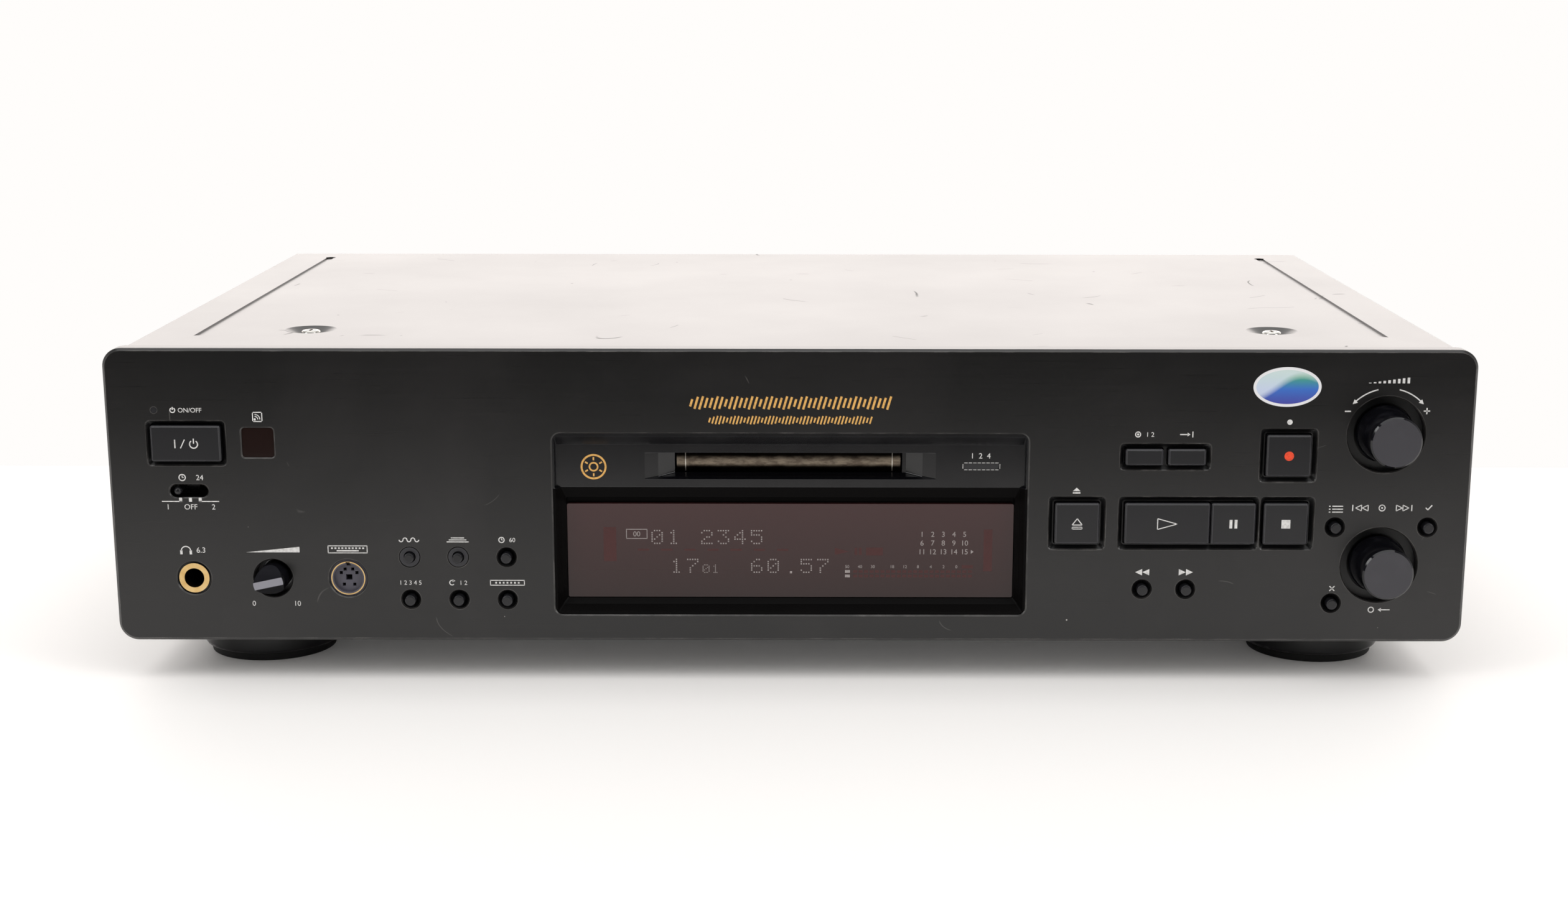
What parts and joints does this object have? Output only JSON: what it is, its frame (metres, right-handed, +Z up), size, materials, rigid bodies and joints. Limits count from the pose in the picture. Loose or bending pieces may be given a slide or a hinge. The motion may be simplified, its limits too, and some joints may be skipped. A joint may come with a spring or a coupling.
{
  "type": "minidisc deck",
  "caption": "Full-width minidisc recorder deck: black brushed front with push buttons, turning knobs, slot-loading disc drive and display window, steel housing on round feet.",
  "frame": {"origin": "on the floor under the middle of the deck's overall box, knobs and rear sockets included", "axes": "+X to the right seen from the front, +Y from the front panel to the rear panel, +Z up"},
  "size_m": [0.43, 0.2848, 0.1075],
  "materials": {
    "brushed_panel": "black anodised, brushed from side to side",
    "carrier_plastic": "moulded, satin",
    "ring_plastic": "moulded, satin",
    "button_plastic": "moulded, fine satin with worn edges",
    "knob_plastic": "moulded, polished side and satin face",
    "bezel_plastic": "moulded, satin",
    "door_steel": "polished bronze-grey sheet",
    "smoked_window": "smoked, polished",
    "display_glass": "dark glass",
    "lamp_lens": "clear grey lens",
    "infrared_window": "dark red-brown, polished",
    "gilt_metal": "gilt ring on a black body",
    "socket_plastic": "moulded",
    "circuit_board": "lacquered laminate",
    "switch_plastic": "moulded",
    "zinc_steel": "zinc plated sheet",
    "plated_steel": "nickel plated",
    "painted_steel": "black paint, satin",
    "foot_plastic": "moulded, glossy",
    "foot_rubber": "matt",
    "laminated_steel": "varnished laminations and taped winding",
    "white_plastic": "moulded",
    "cast_metal": "die cast"
  },
  "bodies": {
    "deck": {"front_panel": "brushed_panel", "button_carrier": "carrier_plastic", "key_rings": "ring_plastic", "encoders": "zinc_steel", "slot_bezel": "bezel_plastic", "display_window": "smoked_window", "display_tube": "display_glass", "lamps": "lamp_lens", "remote_window": "infrared_window", "headphone_jack": "gilt_metal", "keyboard_socket": "socket_plastic", "front_boards": "circuit_board", "push_switches": "switch_plastic", "base_pan": "zinc_steel", "cross_beam": "zinc_steel", "rear_panel": "painted_steel", "top_cover": "painted_steel", "screws": "plated_steel", "feet": "foot_plastic", "foot_pads": "foot_rubber", "transformer": "laminated_steel", "main_board": "circuit_board", "phono_jacks": "socket_plastic", "optical_jacks": "socket_plastic", "mains_inlet": "socket_plastic", "drive_frame": "zinc_steel", "spindle_motor": "plated_steel", "guide_rods": "plated_steel"},
    "time_button": {"time_button": "button_plastic"},
    "play_mode_button": {"play_mode_button": "button_plastic"},
    "repeat_button": {"repeat_button": "button_plastic"},
    "display_button": {"display_button": "button_plastic"},
    "rewind_button": {"rewind_button": "button_plastic"},
    "fast_forward_button": {"fast_forward_button": "button_plastic"},
    "menu_button": {"menu_button": "button_plastic"},
    "yes_button": {"yes_button": "button_plastic"},
    "clear_button": {"clear_button": "button_plastic"},
    "filter_button": {"filter_button": "button_plastic"},
    "edit_button": {"edit_button": "button_plastic"},
    "power_button": {"power_button": "button_plastic"},
    "eject_button": {"eject_button": "button_plastic"},
    "play_button": {"play_button": "button_plastic"},
    "pause_button": {"pause_button": "button_plastic"},
    "stop_button": {"stop_button": "button_plastic"},
    "record_button": {"record_button": "button_plastic"},
    "record_mode_button": {"record_mode_button": "button_plastic"},
    "input_button": {"input_button": "button_plastic"},
    "slot_door": {"slot_door": "door_steel"},
    "timer_lever": {"timer_lever": "button_plastic"},
    "phones_level_knob": {"phones_level_knob": "knob_plastic"},
    "record_level_knob": {"record_level_knob": "knob_plastic", "record_level_shaft": "plated_steel"},
    "select_shaft": {"select_shaft": "plated_steel"},
    "select_knob": {"select_knob": "knob_plastic"},
    "disc_holder": {"disc_holder": "zinc_steel"},
    "cam_slider": {"cam_slider": "white_plastic"},
    "turntable": {"turntable": "white_plastic"},
    "optical_pickup": {"optical_pickup": "cast_metal"},
    "recording_head": {"recording_head": "plated_steel"},
    "lead_screw": {"lead_screw": "plated_steel"}
  },
  "joints": [
    {"name": "time_button_press", "type": "slide", "parent": "deck", "child": "time_button", "axis": [0, 1, 0], "range_m": [0, 0.0008], "stiffness_N_per_m": 150, "springref_m": -0.0004},
    {"name": "play_mode_button_press", "type": "slide", "parent": "deck", "child": "play_mode_button", "axis": [0, 1, 0], "range_m": [0, 0.0008], "stiffness_N_per_m": 150, "springref_m": -0.0004},
    {"name": "repeat_button_press", "type": "slide", "parent": "deck", "child": "repeat_button", "axis": [0, 1, 0], "range_m": [0, 0.0008], "stiffness_N_per_m": 150, "springref_m": -0.0004},
    {"name": "display_button_press", "type": "slide", "parent": "deck", "child": "display_button", "axis": [0, 1, 0], "range_m": [0, 0.0008], "stiffness_N_per_m": 150, "springref_m": -0.0004},
    {"name": "rewind_button_press", "type": "slide", "parent": "deck", "child": "rewind_button", "axis": [0, 1, 0], "range_m": [0, 0.0008], "stiffness_N_per_m": 150, "springref_m": -0.0004},
    {"name": "fast_forward_button_press", "type": "slide", "parent": "deck", "child": "fast_forward_button", "axis": [0, 1, 0], "range_m": [0, 0.0008], "stiffness_N_per_m": 150, "springref_m": -0.0004},
    {"name": "menu_button_press", "type": "slide", "parent": "deck", "child": "menu_button", "axis": [0, 1, 0], "range_m": [0, 0.0008], "stiffness_N_per_m": 150, "springref_m": -0.0004},
    {"name": "yes_button_press", "type": "slide", "parent": "deck", "child": "yes_button", "axis": [0, 1, 0], "range_m": [0, 0.0008], "stiffness_N_per_m": 150, "springref_m": -0.0004},
    {"name": "clear_button_press", "type": "slide", "parent": "deck", "child": "clear_button", "axis": [0, 1, 0], "range_m": [0, 0.0008], "stiffness_N_per_m": 150, "springref_m": -0.0004},
    {"name": "filter_button_press", "type": "slide", "parent": "deck", "child": "filter_button", "axis": [0, 1, 0], "range_m": [0, 0.0008], "stiffness_N_per_m": 150, "springref_m": -0.0004},
    {"name": "edit_button_press", "type": "slide", "parent": "deck", "child": "edit_button", "axis": [0, 1, 0], "range_m": [0, 0.0008], "stiffness_N_per_m": 150, "springref_m": -0.0004},
    {"name": "power_button_press", "type": "slide", "parent": "deck", "child": "power_button", "axis": [0, 1, 0], "range_m": [0, 0.0008], "stiffness_N_per_m": 250, "springref_m": -0.0004},
    {"name": "eject_button_press", "type": "slide", "parent": "deck", "child": "eject_button", "axis": [0, 1, 0], "range_m": [0, 0.0008], "stiffness_N_per_m": 250, "springref_m": -0.0004},
    {"name": "play_button_press", "type": "slide", "parent": "deck", "child": "play_button", "axis": [0, 1, 0], "range_m": [0, 0.0008], "stiffness_N_per_m": 250, "springref_m": -0.0004},
    {"name": "pause_button_press", "type": "slide", "parent": "deck", "child": "pause_button", "axis": [0, 1, 0], "range_m": [0, 0.0008], "stiffness_N_per_m": 250, "springref_m": -0.0004},
    {"name": "stop_button_press", "type": "slide", "parent": "deck", "child": "stop_button", "axis": [0, 1, 0], "range_m": [0, 0.0008], "stiffness_N_per_m": 250, "springref_m": -0.0004},
    {"name": "record_button_press", "type": "slide", "parent": "deck", "child": "record_button", "axis": [0, 1, 0], "range_m": [0, 0.0008], "stiffness_N_per_m": 250, "springref_m": -0.0004},
    {"name": "record_mode_button_press", "type": "slide", "parent": "deck", "child": "record_mode_button", "axis": [0, 1, 0], "range_m": [0, 0.0008], "stiffness_N_per_m": 250, "springref_m": -0.0004},
    {"name": "input_button_press", "type": "slide", "parent": "deck", "child": "input_button", "axis": [0, 1, 0], "range_m": [0, 0.0008], "stiffness_N_per_m": 250, "springref_m": -0.0004},
    {"name": "timer_slide", "type": "slide", "parent": "deck", "child": "timer_lever", "axis": [1, 0, 0], "range_m": [0, 0.0072]},
    {"name": "phones_level_turn", "type": "hinge", "parent": "deck", "child": "phones_level_knob", "pos_m": [-0.1648, -0.129, 0.0335], "axis": [0, 1, 0], "range_deg": [-48, 252]},
    {"name": "record_level_turn", "type": "hinge", "parent": "deck", "child": "record_level_knob", "pos_m": [0.1873, -0.129, 0.0806], "axis": [0, 1, 0], "continuous": true},
    {"name": "select_push", "type": "slide", "parent": "deck", "child": "select_shaft", "axis": [0, 1, 0], "range_m": [0, 0.0006], "stiffness_N_per_m": 600, "springref_m": -0.0005},
    {"name": "select_turn", "type": "hinge", "parent": "select_shaft", "child": "select_knob", "pos_m": [0.1873, -0.129, 0.0383], "axis": [0, 1, 0], "continuous": true},
    {"name": "slot_door_swing", "type": "hinge", "parent": "deck", "child": "slot_door", "pos_m": [-0.0006, -0.1197, 0.0749], "axis": [1, 0, 0], "range_deg": [0, 78], "stiffness_Nm_per_rad": 0.002, "springref_deg": -8.59},
    {"name": "cam_slide", "type": "slide", "parent": "deck", "child": "cam_slider", "axis": [0, 1, 0], "range_m": [0, 0.012]},
    {"name": "holder_drop", "type": "slide", "parent": "deck", "child": "disc_holder", "axis": [0, 0, -1], "range_m": [0, 0.004]},
    {"name": "turntable_spin", "type": "hinge", "parent": "deck", "child": "turntable", "pos_m": [-0.0006, -0.07, 0.0129], "axis": [0, 0, 1], "continuous": true},
    {"name": "pickup_slide", "type": "slide", "parent": "deck", "child": "optical_pickup", "axis": [0, 1, 0], "range_m": [0, 0.021]},
    {"name": "lead_screw_spin", "type": "hinge", "parent": "deck", "child": "lead_screw", "pos_m": [0.0224, -0.129, 0.0549], "axis": [0, 1, 0], "range_deg": [0, 2520]},
    {"name": "head_lower", "type": "hinge", "parent": "optical_pickup", "child": "recording_head", "pos_m": [-0.0006, -0.0245, 0.0789], "axis": [1, 0, 0], "range_deg": [0, 5], "stiffness_Nm_per_rad": 0.05, "springref_deg": -5.73}
  ],
  "couplings": [
    {"joint": "holder_drop", "follows": "cam_slide", "ratio": 0.33333},
    {"joint": "lead_screw_spin", "follows": "pickup_slide", "rad_per_m": 2094.4}
  ]
}
